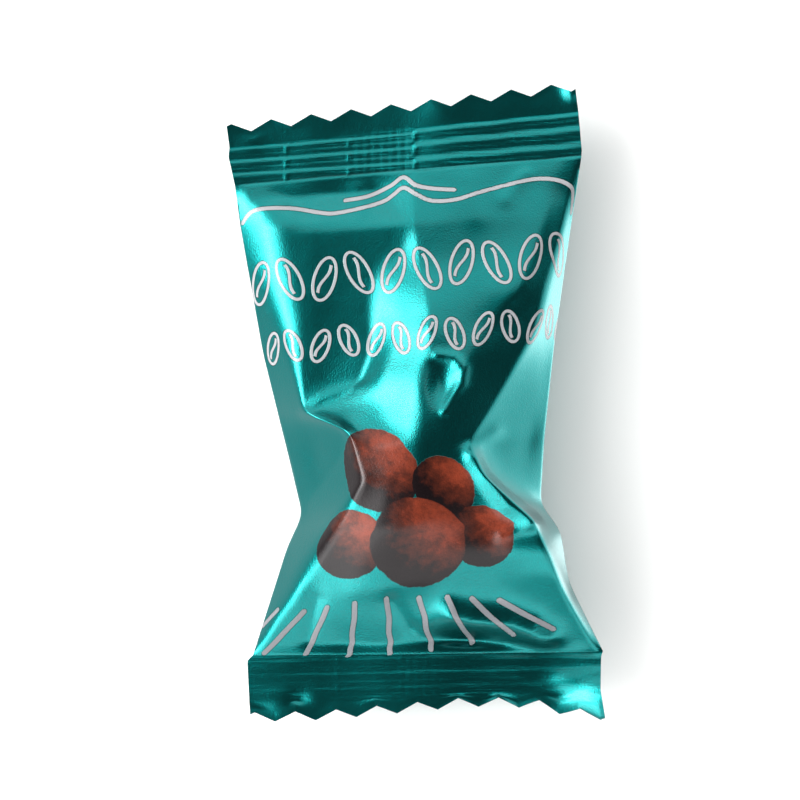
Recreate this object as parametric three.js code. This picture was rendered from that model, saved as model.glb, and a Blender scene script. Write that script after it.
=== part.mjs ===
// A chocolate truffle in its sealed pillow pack, lying on its back.
// One tube of metallised film holds the truffle. It is welded flat and crimped at both ends, the ends are cut
// in zigzags, and the seam that closes the tube lies folded over as a flap along the back. The film is drawn
// tight over the truffle in the lower half, so its face is a set of nearly flat facets between folds.
// Millimetres. X runs across the pack, Y along it to the upper seal, Z up from the table.
import * as THREE from "three";
import { mergeGeometries, mergeVertices } from "three/addons/utils/BufferGeometryUtils.js";

// Mesh density. A tooth is four columns wide, so that its tip and its notches fall on columns.
const COLUMNS = 36;
const FRINGE_ROWS = 2;
const CRIMP_ROWS = 12;
const BODY_ROWS = 50;

// Film and seals.
const FILM_EDGE = 0.4; // both films and the weld between them, at a seal
const TOOTH_DEPTH = 1.0;
const CRIMP_WAVES = 3;
const CRIMP_HEIGHT = 0.2; // from the mean line to a ridge
const FLAP_THICKNESS = 0.35;
const FLAP_WIDTH = 13.5;
const FLAP_STEP = 0.25; // across the slope at each edge of the flap
const FLAP_SEAM = { upper: -0.1, lower: 5.3 }; // where the seam leaves each seal, across the pack

// A seal is given by lines across the pack: [how far out, left end, right end]. It is 0 out where the pack
// begins to fill out, 1 out where the crimps end, and 2 out at the notches of the cut edge.
const UPPER_SEAL = [
  [0, [-19.0, 22.8], [17.4, 25.8]], [0.15, [-19.15, 23.5], [17.45, 26.5]],
  [0.75, [-19.7, 25.9], [17.2, 29.6]], [1, [-19.6, 26.9], [17.1, 30.7]], [2, [-19.9, 28.3], [16.8, 32.8]],
];
const LOWER_SEAL = [
  [0, [-17.1, -26.5], [19.7, -26.1]], [0.15, [-17.7, -27.1], [19.5, -26.7]],
  [1, [-17.5, -31.2], [19.4, -30.2]], [2, [-17.4, -32.55], [19.9, -32.3]],
];
const SEAL_HEIGHT = { upper: 7.5, lower: 7.0 }; // above the table
// The lower cut edge arches away from the table, so less of it shows: [share across, how much less].
const LOWER_ARCH = [[0, 0], [0.2, 0.15], [0.62, 1.5], [0.8, 1.25], [0.93, 0.1], [1, 0]];

// Folds of the film. "down" is the share of the way from the upper seal (0) to the lower one (1).
// Each fold is a list of [down, x, z], and it turns softly at each of its points.
const LEFT_SIDE = [
  [0, -19.0, 7.5], [0.09, -18.4, 7.6], [0.36, -16.0, 7.9], [0.58, -13.3, 8.0], [0.7, -11.9, 8.0],
  [0.77, -13.5, 7.6], [1, -17.1, 7.0],
];
const RIGHT_SIDE = [
  [0, 17.4, 7.5], [0.14, 16.3, 7.6], [0.37, 14.6, 7.9], [0.57, 13.5, 8.0], [0.7, 13.1, 8.0],
  [0.755, 15.2, 7.8], [0.86, 16.1, 7.4], [1, 19.7, 7.0],
];
const LEFT_SHOULDER = [
  [0, -18.5, 7.6], [0.12, -14.7, 9.4], [0.285, -12.6, 11.0], [0.49, -11.7, 12.6], [0.53, -6.9, 16.2],
  [0.634, -5.5, 17.2], [0.73, -8.6, 14.8], [0.83, -11.7, 11.4], [1, -16.6, 7.1],
];
const RIGHT_SHOULDER = [
  [0, 17.0, 7.6], [0.14, 15.1, 9.2], [0.234, 14.1, 10.3], [0.342, 12.3, 11.8], [0.48, 8.5, 14.2],
  [0.572, 5.2, 16.2], [0.633, 6.8, 16.4], [0.728, 12.2, 14.2], [0.786, 13.6, 12.4], [0.88, 15.7, 9.7],
  [1, 18.9, 7.1],
];
const FACE_LEFT = [
  [0, -9.5, 7.5], [0.15, -9.0, 10.0], [0.3, -8.0, 12.3], [0.44, -6.7, 15.0], [0.53, -3.6, 17.0],
  [0.634, -2.6, 17.8], [0.73, -4.2, 16.5], [0.83, -6.0, 13.0], [1, -8.5, 7.1],
];
const FACE_MIDDLE = [
  [0, -0.1, 7.6], [0.137, -0.1, 10.0], [0.268, 0.4, 12.8], [0.331, 1.2, 14.4], [0.444, 0.4, 16.8],
  [0.537, 0, 17.7], [0.63, 0.4, 18.0], [0.723, 0.4, 17.3], [0.83, 0.6, 13.5], [1, 1.5, 7.2],
];
const FACE_RIGHT = [
  [0, 8.5, 7.5], [0.14, 8.0, 9.8], [0.256, 7.0, 11.9], [0.42, 4.1, 15.9], [0.572, 3.0, 17.2],
  [0.67, 5.0, 17.4], [0.728, 6.6, 16.6], [0.786, 7.5, 14.5], [0.88, 9.0, 11.1], [1, 10.5, 7.1],
];
// The side panel between a side and its shoulder is creased: [down, share of the way in, how far it sinks].
const LEFT_TUCK = [[0, 0.6, 0], [0.5, 0.7, 0], [0.54, 0.85, 0.3], [0.62, 0.5, 0.6], [0.7, 0.2, 0.2],
  [1, 0.4, 0]];
const RIGHT_TUCK = [[0, 0.6, 0], [0.55, 0.75, 0], [0.59, 0.88, 0.6], [0.676, 0.8, 1.5], [0.71, 0.45, 0.9],
  [0.76, 0.45, 0], [1, 0.4, 0]];
const FLOOR = FLAP_THICKNESS + FILM_EDGE / 2; // the middle of the film's edge, where the flap meets the table
const BASE_LEFT = [
  [0, -18.0, 7.4], [0.12, -15.5, 5.6], [0.42, -12.2, FLOOR], [0.72, -10.6, FLOOR], [0.83, -12.5, 3.1],
  [1, -16.3, 6.9],
];
const BASE_RIGHT = [
  [0, 16.3, 7.4], [0.12, 14.0, 5.6], [0.42, 10.8, FLOOR], [0.72, 11.2, FLOOR], [0.83, 13.4, 3.1],
  [1, 18.7, 6.9],
];

// Small forms on the face: a ridge (or, with a negative height, a valley) runs from one point to another,
// and a hollow is an oval dent. Points are [x, y].
const RIDGES = [
  { from: [-11.7, -1.1], to: [-7.0, -2.5], height: 0.45, width: 1.0, sharp: true }, // lit crescent, left
  { from: [-11.7, -1.1], to: [-6.6, 1.6], height: 0.3, width: 1.2, sharp: true },
  { from: [12.2, -12.2], to: [8.6, -14.2], height: -0.5, width: 1.8, sharp: true },
  { from: [5.6, -5.1], to: [7.3, -3.8], height: -0.25, width: 0.9, sharp: true },
  { from: [-0.1, 17.4], to: [1.3, 7.9], height: 0.35, width: 3.2, sharp: false }, // pulled over the truffle
  { from: [4.2, 3.3], to: [3.2, 0.2], height: 0.35, width: 1.2, sharp: true },
  { from: [4.9, -23.3], to: [5.8, -26.0], height: 0.7, width: 2.2, sharp: false }, // puckers at the seals
  { from: [-9.9, -24.0], to: [-9.2, -26.3], height: 0.3, width: 1.2, sharp: false },
  { from: [-1.6, -21.5], to: [0.6, -24.0], height: -0.25, width: 1.1, sharp: false },
  { from: [4.2, 24.6], to: [5.2, 21.2], height: -0.35, width: 1.1, sharp: false },
  { from: [-6.5, 23.6], to: [-5.5, 21.0], height: 0.25, width: 1.4, sharp: false },
];
const HOLLOWS = [
  { at: [-9.6, 0.9], across: 3.0, along: 1.6, depth: 0.5 },
  { at: [2.2, 1.3], across: 1.2, along: 2.4, depth: 0.45 },
  { at: [10.2, -15.2], across: 2.4, along: 1.8, depth: 0.4 },
  { at: [9.4, -21.6], across: 6.0, along: 2.0, depth: 0.5 },
];

const mix = (a, b, share) => a + (b - a) * share;
function smooth(a, b, t) {
  const share = THREE.MathUtils.clamp((t - a) / (b - a), 0, 1);
  return share * share * (3 - 2 * share);
}

// A ramp that is 0 before zero and t after it, turned over a reach to each side.
function ramp(t, reach) {
  if (t <= -reach) return 0;
  if (t >= reach) return t;
  const w = (t / reach + 1) / 2;
  return reach * (2 * w ** 3 - w ** 4);
}

// The height at t of a line through the points [at, value], turned softly at each one.
function folded(points, reach, t) {
  const slope = (k) => (points[k + 1][1] - points[k][1]) / (points[k + 1][0] - points[k][0]);
  let value = points[0][1] + slope(0) * (t - points[0][0]);
  for (let k = 1; k < points.length - 1; k++) {
    const room = 0.48 * Math.min(points[k][0] - points[k - 1][0], points[k + 1][0] - points[k][0]);
    value += (slope(k) - slope(k - 1)) * ramp(t - points[k][0], Math.min(reach, room));
  }
  return value;
}

// Where a fold is at one place down the pack: [x, z].
const FOLD_REACH = 0.03;
const along = (fold, down) => [1, 2].map((k) => folded(fold.map((p) => [p[0], p[k]]), FOLD_REACH, down));

// The point of a creased side panel between its side and its shoulder.
function tucked(tuck, side, shoulder, down) {
  const [share, sink] = along(tuck, down);
  return [mix(side[0], shoulder[0], share), mix(side[1], shoulder[1], share) - sink];
}

const flapSeam = (down) => mix(FLAP_SEAM.upper, FLAP_SEAM.lower, down);

// The folds that the film passes, left to right, and the column that follows each one.
const FACE_COLUMNS = [0, 3, 6, 11, 18, 25, 30, 33, 36];
function faceFolds(down) {
  const [left, right] = [along(LEFT_SIDE, down), along(RIGHT_SIDE, down)];
  const [leftShoulder, rightShoulder] = [along(LEFT_SHOULDER, down), along(RIGHT_SHOULDER, down)];
  return [
    left, tucked(LEFT_TUCK, left, leftShoulder, down), leftShoulder,
    along(FACE_LEFT, down), along(FACE_MIDDLE, down), along(FACE_RIGHT, down),
    rightShoulder, tucked(RIGHT_TUCK, right, rightShoulder, down), right,
  ];
}
const BACK_COLUMNS = [0, 6, 10, 11, 24, 25, 30, 36];
function backFolds(down) {
  const [left, right] = [along(LEFT_SIDE, down), along(RIGHT_SIDE, down)];
  const [baseLeft, baseRight] = [along(BASE_LEFT, down), along(BASE_RIGHT, down)];
  const seam = flapSeam(down);
  const free = seam - FLAP_WIDTH;
  const onBase = (x) => [x, mix(baseLeft[1], baseRight[1], (x - baseLeft[0]) / (baseRight[0] - baseLeft[0]))];
  return [left, baseLeft, ...[free - FLAP_STEP, free, seam, seam + FLAP_STEP].map(onBase), baseRight, right];
}

// Where a column stands at a seal, as a share of the width: the outer ones are narrow, the rest even.
const EDGE_SHARE = 0.013;
function evenShare(column) {
  if (column <= 1) return EDGE_SHARE * column;
  if (column >= COLUMNS - 1) return 1 - EDGE_SHARE * (COLUMNS - column);
  return mix(EDGE_SHARE, 1 - EDGE_SHARE, (column - 1) / (COLUMNS - 2));
}

// Where a column stands on the body: even between the folds, which it joins a little way in from each seal.
const JOINED = 0.1;
function bodyX(folds, foldColumns, column, down) {
  const k = Math.min(foldColumns.findLastIndex((c) => c <= column), folds.length - 2);
  const share = (column - foldColumns[k]) / (foldColumns[k + 1] - foldColumns[k]);
  const onFolds = mix(folds[k][0], folds[k + 1][0], share);
  const even = mix(folds[0][0], folds.at(-1)[0], evenShare(column));
  return mix(even, onFolds, smooth(0, JOINED, down) * smooth(1, 1 - JOINED, down));
}

// How high a ridge or a hollow raises the film at x, y.
function ridgeHeight({ from, to, height, width, sharp }, x, y) {
  const [dx, dy] = [to[0] - from[0], to[1] - from[1]];
  const share = THREE.MathUtils.clamp(((x - from[0]) * dx + (y - from[1]) * dy) / (dx * dx + dy * dy), 0, 1);
  const away = Math.hypot(x - from[0] - share * dx, y - from[1] - share * dy) / width;
  const profile = sharp ? Math.max(0, 1 - away) ** 2 : Math.exp(-2 * away * away);
  return height * profile;
}
function hollowDepth({ at, across, along: length, depth }, x, y) {
  const away = Math.hypot((x - at[0]) / across, (y - at[1]) / length);
  return depth * Math.exp(-1.5 * away * away);
}

// A place on a seal, from how far out it is and its share of the way across.
function sealLine(seal, out, share) {
  const end = (which, k) => folded(seal.map((line) => [line[0], line[which][k]]), 0.05, out);
  return [mix(end(1, 0), end(2, 0), share), mix(end(1, 1), end(2, 1), share)];
}

// The wave of a seal across the pack: it is stiff, but never quite flat.
const upperWave = (x) => 0.35 * Math.sin(x / 6.5 + 0.6) + 0.12 * Math.sin(x / 2.4);
const lowerWave = (x) => 0.5 * Math.sin(x / 7.5 + 2.2) + 0.15 * Math.sin(x / 2.9 + 1);

// One point of the body, on the face or on the back. Ridges and hollows fade out towards its rim, and the
// wave of each seal fades out into it.
const RIM = { across: 0.06, along: 0.04 };
const WAVE_REACH = 0.25;
const inside = (rim, share) => smooth(0, rim, share) * smooth(1, 1 - rim, share);
function bodyPoint(side, column, down) {
  const folds = side.folds(down);
  const x = bodyX(folds, side.columns, column, down);
  const share = (x - folds[0][0]) / (folds.at(-1)[0] - folds[0][0]);
  const y = mix(sealLine(UPPER_SEAL, 0, share)[1], sealLine(LOWER_SEAL, 0, share)[1], down);
  const relief = side.relief(x, y) * inside(RIM.across, share) * inside(RIM.along, down);
  const wave = upperWave(x) * smooth(WAVE_REACH, 0, down) + lowerWave(x) * smooth(1 - WAVE_REACH, 1, down);
  const middle = folded(folds, side.roundness, x) + relief + wave - side.flap(x, down);
  return [x, y, middle + (side.up * FILM_EDGE) / 2];
}

function faceRelief(x, y) {
  const ridges = RIDGES.reduce((sum, ridge) => sum + ridgeHeight(ridge, x, y), 0);
  const hollows = HOLLOWS.reduce((sum, hollow) => sum + hollowDepth(hollow, x, y), 0);
  return ridges - hollows;
}
function flapDepth(x, down) {
  const seam = flapSeam(down);
  const free = seam - FLAP_WIDTH;
  return FLAP_THICKNESS * smooth(free - FLAP_STEP, free, x) * smooth(seam + FLAP_STEP, seam, x);
}
const none = () => 0;

// The two sides of the film. "roundness" is how far to each side of a fold the film turns.
const FACE = {
  up: 1, folds: faceFolds, columns: FACE_COLUMNS, roundness: 1.2, relief: faceRelief, flap: none,
};
const BACK = {
  up: -1, folds: backFolds, columns: BACK_COLUMNS, roundness: 1.5, relief: none, flap: flapDepth,
};

// The cut edge of each seal. "tooth" is 1 on every fourth column from the first one in, and 0 midway between:
// the upper edge has a tip there, and the lower edge a notch.
const upperCut = (share, tooth) => TOOTH_DEPTH * tooth;
const ARCH_REACH = 0.06;
const lowerCut = (share, tooth) => folded(LOWER_ARCH, ARCH_REACH, share) - TOOTH_DEPTH * (1 - tooth);
const UPPER = { lines: UPPER_SEAL, wave: upperWave, cut: upperCut, height: SEAL_HEIGHT.upper, down: 0 };
const LOWER = { lines: LOWER_SEAL, wave: lowerWave, cut: lowerCut, height: SEAL_HEIGHT.lower, down: 1 };

// One point of a seal.
function sealPoint(side, seal, column, out) {
  const share = evenShare(column);
  const [x, straightY] = sealLine(seal.lines, out, share);
  const tooth = Math.abs(((column + 3) / 2 % 2) - 1);
  const y = straightY + seal.cut(share, tooth) * Math.max(0, out - 1);
  const crimps = CRIMP_HEIGHT * Math.sin(2 * Math.PI * CRIMP_WAVES * Math.min(1, out));
  const middle = seal.height + seal.wave(x) + crimps - side.flap(x, seal.down);
  return [x, y, middle + (side.up * FILM_EDGE) / 2];
}

// The rows down the pack, each a function from a side and a column to a point.
const shares = (count) => Array.from({ length: count }, (_, k) => k / count);
const rows = [
  ...shares(FRINGE_ROWS).map((q) => (side, column) => sealPoint(side, UPPER, column, 2 - q)),
  ...shares(CRIMP_ROWS).map((q) => (side, column) => sealPoint(side, UPPER, column, 1 - q)),
  ...shares(BODY_ROWS).map((q) => (side, column) => bodyPoint(side, column, q)),
  ...shares(CRIMP_ROWS).map((q) => (side, column) => sealPoint(side, LOWER, column, q)),
  ...shares(FRINGE_ROWS).map((q) => (side, column) => sealPoint(side, LOWER, column, 1 + q)),
  (side, column) => sealPoint(side, LOWER, column, 2),
];

// A sheet of film is a plane of columns by rows, moved point by point to its place.
function sheet(columns, lines, place) {
  const plane = new THREE.PlaneGeometry(1, 1, columns, lines);
  const points = plane.getAttribute("position");
  for (let k = 0; k < points.count; k++) {
    points.setXYZ(k, ...place(k % (columns + 1), Math.floor(k / (columns + 1))));
  }
  plane.deleteAttribute("normal");
  plane.deleteAttribute("uv");
  return plane;
}
function turned(geometry) {
  const index = geometry.getIndex();
  for (let k = 0; k < index.count; k += 3) {
    const first = index.getX(k);
    index.setX(k, index.getX(k + 2));
    index.setX(k + 2, first);
  }
  return geometry;
}

// The rim, as [column, row], all the way round and back to its start. It joins the face to the back.
function rimPlaces() {
  const last = rows.length - 1;
  const count = (to) => Array.from({ length: to }, (_, k) => k);
  return [
    ...count(COLUMNS).map((k) => [k, 0]), ...count(last).map((k) => [COLUMNS, k]),
    ...count(COLUMNS).map((k) => [COLUMNS - k, last]), ...count(last + 1).map((k) => [0, last - k]),
  ];
}

const face = sheet(COLUMNS, rows.length - 1, (c, r) => rows[r](FACE, c));
const back = turned(sheet(COLUMNS, rows.length - 1, (c, r) => rows[r](BACK, c)));
const rim = rimPlaces();
const edge = turned(sheet(rim.length - 1, 1, (k, low) => rows[rim[k][1]](low ? BACK : FACE, rim[k][0])));
const film = mergeVertices(mergeGeometries([face, back, edge]), 1e-4);
film.computeVertexNormals();

const tealFilm = new THREE.MeshStandardMaterial({ color: 0x1f9c95, roughness: 0.28, metalness: 0.9 });
const pack = new THREE.Mesh(film, tealFilm);
pack.name = "pillow_pack";

const sweet = new THREE.Group();
sweet.add(pack);
export default sweet;
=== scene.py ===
import math

import bpy
import numpy as np
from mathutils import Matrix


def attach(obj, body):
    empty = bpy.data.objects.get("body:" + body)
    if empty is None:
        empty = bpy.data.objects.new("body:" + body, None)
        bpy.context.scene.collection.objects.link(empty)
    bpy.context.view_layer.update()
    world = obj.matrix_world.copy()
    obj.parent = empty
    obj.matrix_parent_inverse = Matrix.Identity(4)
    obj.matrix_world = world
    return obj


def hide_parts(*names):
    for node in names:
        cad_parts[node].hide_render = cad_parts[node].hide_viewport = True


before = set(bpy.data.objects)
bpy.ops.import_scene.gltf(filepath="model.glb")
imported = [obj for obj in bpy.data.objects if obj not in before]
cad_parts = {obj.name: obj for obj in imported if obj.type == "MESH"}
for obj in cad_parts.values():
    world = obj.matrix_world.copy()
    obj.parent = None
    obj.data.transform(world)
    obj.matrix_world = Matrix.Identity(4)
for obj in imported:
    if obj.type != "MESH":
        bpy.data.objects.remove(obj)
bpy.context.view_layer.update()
bpy.ops.object.select_all(action="DESELECT")

mm = 0.001
rng = np.random.default_rng(7)


# The film's shape. Everything about it is in millimetres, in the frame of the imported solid: X across the
# pack, Y along it to the upper seal, Z up. "down" is the share of the way from the upper seal to the lower
# one, "across" the share of the way from the left side to the right one. "out" runs over a seal: 0 where the
# pack begins to fill out, 1 where the crimps end, 2 at the notches of the cut edge.

def mix(a, b, share):
    return a + (b - a) * share


def smooth(a, b, t):
    # 0 at a and 1 at b, with soft ends
    share = np.clip((t - a) / (b - a), 0, 1)
    return share * share * (3 - 2 * share)


def clearOf(edge, share):
    # 1 in the middle, and 0 at both ends, over this much of each end
    return smooth(0, edge, share) * smooth(1, 1 - edge, share)


def ramp(t, reach):
    # 0 before zero and t after it, turned over a reach to each side
    w = (t / reach + 1) / 2
    return np.where(t <= -reach, 0, np.where(t >= reach, t, reach * (2 * w ** 3 - w ** 4)))


def folded(at, value, reach, t):
    # a line through the points (at, value), turned softly at each one, and read at t
    half, whole = 0.48, 0.98              # a turn takes at most half a stretch, or all of an end stretch
    slope = [(value[k + 1] - value[k]) / (at[k + 1] - at[k]) for k in range(len(at) - 1)]
    line = value[0] + slope[0] * (t - at[0])
    for k in range(1, len(at) - 1):
        before = whole if k == 1 else half
        after = whole if k == len(at) - 2 else half
        room = np.minimum(before * (at[k] - at[k - 1]), after * (at[k + 1] - at[k]))
        here = reach[k] if isinstance(reach, list) else reach
        line = line + (slope[k] - slope[k - 1]) * ramp(t - at[k], np.minimum(here, room))
    return line


# Places down the pack where the film turns sharply, and its reach there.
creases = {0.034: 0.008, 0.092: 0.01, 0.112: 0.01, 0.98: 0.006}


def along(fold, down, reach=0.03):
    # where a fold is at one place down the pack: its values after the first one
    at = [point[0] for point in fold]
    turn = [creases.get(place, reach) for place in at]
    return [folded(at, [point[k] for point in fold], turn, down) for k in range(1, len(fold[0]))]


film = {
    "columns": 174,                   # across a sheet: 2 at each side and 10 for each half tooth
    "sideColumns": 2,
    "sideShare": 0.013,               # of the width, for the columns at each side
    "teeth": 8.5,
    "toothDepth": 1.0,
    "bodyRows": 196,
    "crimpRows": 34,
    "fringeRows": 8,
    "thick": 0.2,                     # both films at a cut edge
    "halfGirth": 37.0,                # the film's own width, side to side
    "printLength": 52.0,              # the film's own length between the seals
    "flapWidth": 13.5,                # the back seam, folded over
    "flapStep": 0.25,
    "flapThick": 0.35,
    "flapSeam": [(0, -0.1), (1, 5.3)],
    "waveReach": 0.25,                # the share of the body in which a seal's wave dies out
    "spread": 0.1,                    # of the length: from even columns to columns that follow the folds
    "faceSmooth": (0.06, 0.03),       # of the width and length: no small forms this near the face's edges
    "backSmooth": (0.08, 0.1),
    "backCrumple": 3,                 # the back is crumpled this much more than the face,
    "flatBelow": (1.0, 3.0),          # but not where it lies on the table
    "sharpAngle": 60,                 # the film looks creased where it turns more than this
}

# Each fold of the face: down, x, z, and how far to each side of it the film turns.
folds = {
    "leftSide": [
        (0, -19.0, 7.5, 1), (0.09, -18.4, 7.6, 1), (0.36, -16.0, 7.9, 1), (0.58, -13.3, 8.0, 1),
        (0.7, -11.9, 8.0, 1), (0.77, -13.5, 7.6, 1), (1, -17.1, 7.0, 1),
    ],
    "leftShoulder": [
        (0, -18.0, 7.6, 1.0), (0.034, -17.4, 8.35, 1.2), (0.065, -16.3, 9.1, 2.2), (0.092, -15.8, 9.65, 2.8),
        (0.25, -14.0, 10.9, 2.6), (0.335, -13.1, 11.5, 1.6), (0.42, -12.3, 12.0, 0.7),
        (0.487, -11.7, 12.5, 0.25), (0.53, -6.9, 16.2, 0.3), (0.634, -5.5, 17.2, 0.8),
        (0.73, -8.6, 14.8, 1.5), (0.83, -11.9, 11.4, 2.0), (0.93, -14.9, 8.9, 1.4), (1, -16.6, 7.1, 0.8),
    ],
    "leftFlank": [
        (0, -8.5, 7.6, 1.5), (0.034, -7.0, 7.65, 1.5), (0.112, -1.9, 10.2, 1.0), (0.186, -3.9, 10.6, 1.0),
        (0.234, -4.6, 10.9, 1.0), (0.29, -4.6, 11.4, 0.9), (0.36, -4.5, 12.0, 0.7), (0.431, -5.8, 12.7, 0.5),
        (0.475, -8.6, 13.4, 0.7), (0.52, -6.4, 15.3, 1.2), (0.56, -4.2, 16.9, 1.5), (0.634, -2.6, 17.8, 1.5),
        (0.73, -4.2, 16.5, 1.5), (0.83, -6.0, 13.1, 1.5), (0.98, -8.2, 7.35, 1.5), (1, -8.5, 7.1, 1.5),
    ],
    "foot": [
        (0, -5.0, 7.6, 1.5), (0.034, -4.2, 7.65, 1.5), (0.112, -0.9, 10.25, 1.0), (0.17, -1.4, 10.7, 1.0),
        (0.234, -1.7, 11.9, 1.0), (0.33, -1.9, 13.5, 1.0), (0.38, -2.6, 13.9, 0.8), (0.431, -3.8, 14.4, 0.8),
        (0.475, -3.7, 15.0, 0.8), (0.52, -3.2, 16.0, 1.2), (0.56, -2.0, 17.4, 1.2), (0.634, -1.0, 17.95, 1.5),
        (0.73, -2.0, 17.0, 1.5), (0.83, -3.0, 13.4, 1.5), (0.98, -3.9, 7.35, 1.5), (1, -4.0, 7.1, 1.5),
    ],
    "ridge": [
        (0, -0.1, 7.6, 0.8), (0.112, 0.0, 10.3, 0.4), (0.2, 0.5, 11.7, 0.4), (0.27, 1.3, 13.6, 0.4),
        (0.33, 1.5, 15.0, 0.6), (0.38, 1.4, 15.9, 0.9), (0.444, 0.8, 16.9, 1.2), (0.537, 0.4, 17.8, 1.5),
        (0.63, 0.4, 18.0, 1.5), (0.723, 0.4, 17.3, 1.5), (0.83, 0.6, 13.6, 1.5), (0.98, 1.4, 7.35, 1.5),
        (1, 1.5, 7.1, 1.5),
    ],
    "rightFlank": [
        (0, 14.5, 7.5, 1.5), (0.04, 14.0, 8.3, 1.0), (0.14, 12.9, 10.4, 1.0), (0.2, 11.8, 11.8, 1.0),
        (0.27, 10.4, 13.4, 1.0), (0.33, 7.4, 14.2, 1.0), (0.42, 4.6, 16.1, 1.0), (0.5, 3.6, 17.2, 1.0),
        (0.572, 3.0, 17.4, 1.0), (0.67, 5.0, 16.7, 1.2), (0.728, 6.6, 15.6, 1.2), (0.786, 7.5, 14.7, 1.5),
        (0.88, 9.0, 11.3, 1.5), (0.98, 10.3, 7.35, 1.5), (1, 10.5, 7.1, 1.5),
    ],
    "rightShoulder": [
        (0, 17.0, 7.6, 0.3), (0.069, 16.2, 8.1, 0.4), (0.131, 15.6, 9.1, 0.5), (0.228, 14.3, 10.9, 0.8),
        (0.316, 13.1, 12.4, 0.9), (0.351, 12.4, 12.8, 0.7), (0.437, 9.8, 13.9, 0.5), (0.508, 7.6, 15.1, 0.4),
        (0.568, 5.4, 16.3, 0.25), (0.633, 6.9, 16.9, 0.3), (0.728, 12.2, 15.4, 0.4), (0.786, 13.6, 15.2, 0.6),
        (0.84, 14.8, 13.8, 0.7), (0.88, 15.7, 12.1, 0.7), (1, 18.9, 7.1, 0.3),
    ],
    "rightSide": [
        (0, 17.4, 7.5, 1), (0.14, 16.3, 7.6, 1), (0.37, 14.6, 7.9, 1), (0.57, 13.5, 8.0, 1),
        (0.7, 13.1, 8.0, 1), (0.755, 15.2, 7.8, 1), (0.86, 16.1, 7.4, 1), (1, 19.7, 7.0, 1),
    ],
    "baseLeft": [
        (0, -18.0, 7.4, 1.5), (0.12, -15.5, 5.6, 1.5), (0.42, -12.2, 0.45, 1.5), (0.72, -10.6, 0.45, 1.5),
        (0.83, -12.5, 3.1, 1.5), (1, -16.3, 6.9, 1.5),
    ],
    "baseRight": [
        (0, 16.3, 7.4, 1.5), (0.12, 14.0, 5.6, 1.5), (0.42, 10.8, 0.45, 1.5), (0.72, 11.2, 0.45, 1.5),
        (0.83, 13.4, 3.1, 1.5), (1, 18.7, 6.9, 1.5),
    ],
}
# The side panels are creased: down, share of the way in from the side, how far it sinks there.
leftTuck = [
    (0, 0.6, 0), (0.5, 0.93, 0), (0.535, 0.92, 0.12), (0.57, 0.85, 0.35), (0.63, 0.43, 0.5),
    (0.685, 0.1, 0.1), (0.75, 0.3, 0), (1, 0.4, 0),
]
rightTuck = [
    (0, 0.6, 0), (0.55, 0.75, 0), (0.59, 0.88, 0.6), (0.676, 0.8, 1.5), (0.71, 0.45, 0.9), (0.76, 0.45, 0),
    (1, 0.4, 0),
]
tuckSoft = 0.06
# The column of the sheet that follows each fold.
faceColumns = [0, 26, 60, 73, 89, 117, 147, 174]
backColumns = [0, 28, 50, 53, 119, 122, 147, 174]


def tucked(tuck, side, shoulder, x, down):
    # how far the panel between side and shoulder sinks at x
    share, sink = along(tuck, down)
    inward = (x - side[0]) / (shoulder[0] - side[0])
    rising, falling = inward / share, (1 - inward) / (1 - share)
    tent = ramp(rising - ramp(rising - falling, tuckSoft) - tuckSoft / 2, tuckSoft / 2)
    return sink * tent


def faceFolds(down):
    left, right = along(folds["leftSide"], down), along(folds["rightSide"], down)
    leftShoulder = along(folds["leftShoulder"], down, reach=0.02)
    rightShoulder = along(folds["rightShoulder"], down, reach=0.02)
    middle = [along(folds[name], down) for name in ("leftFlank", "foot", "ridge", "rightFlank")]
    return [left, leftShoulder, *middle, rightShoulder, right]


def backFolds(down):
    left, right = along(folds["leftSide"], down), along(folds["rightSide"], down)
    baseLeft, baseRight = along(folds["baseLeft"], down), along(folds["baseRight"], down)
    seam = along(film["flapSeam"], down)[0]
    free, step = seam - film["flapWidth"], film["flapStep"]

    def onBase(x):
        share = (x - baseLeft[0]) / (baseRight[0] - baseLeft[0])
        return [x, mix(baseLeft[1], baseRight[1], share), np.ones_like(x)]

    return [left, baseLeft, *[onBase(x) for x in (free - step, free, seam, seam + step)], baseRight, right]


def evenShare(column):
    # the columns at a seal: the outermost steps are narrow, the rest even
    last, side, edge = film["columns"], film["sideColumns"], film["sideShare"]
    return np.interp(column, [0, side, last - side, last], [0, edge, 1 - edge, 1])


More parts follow.
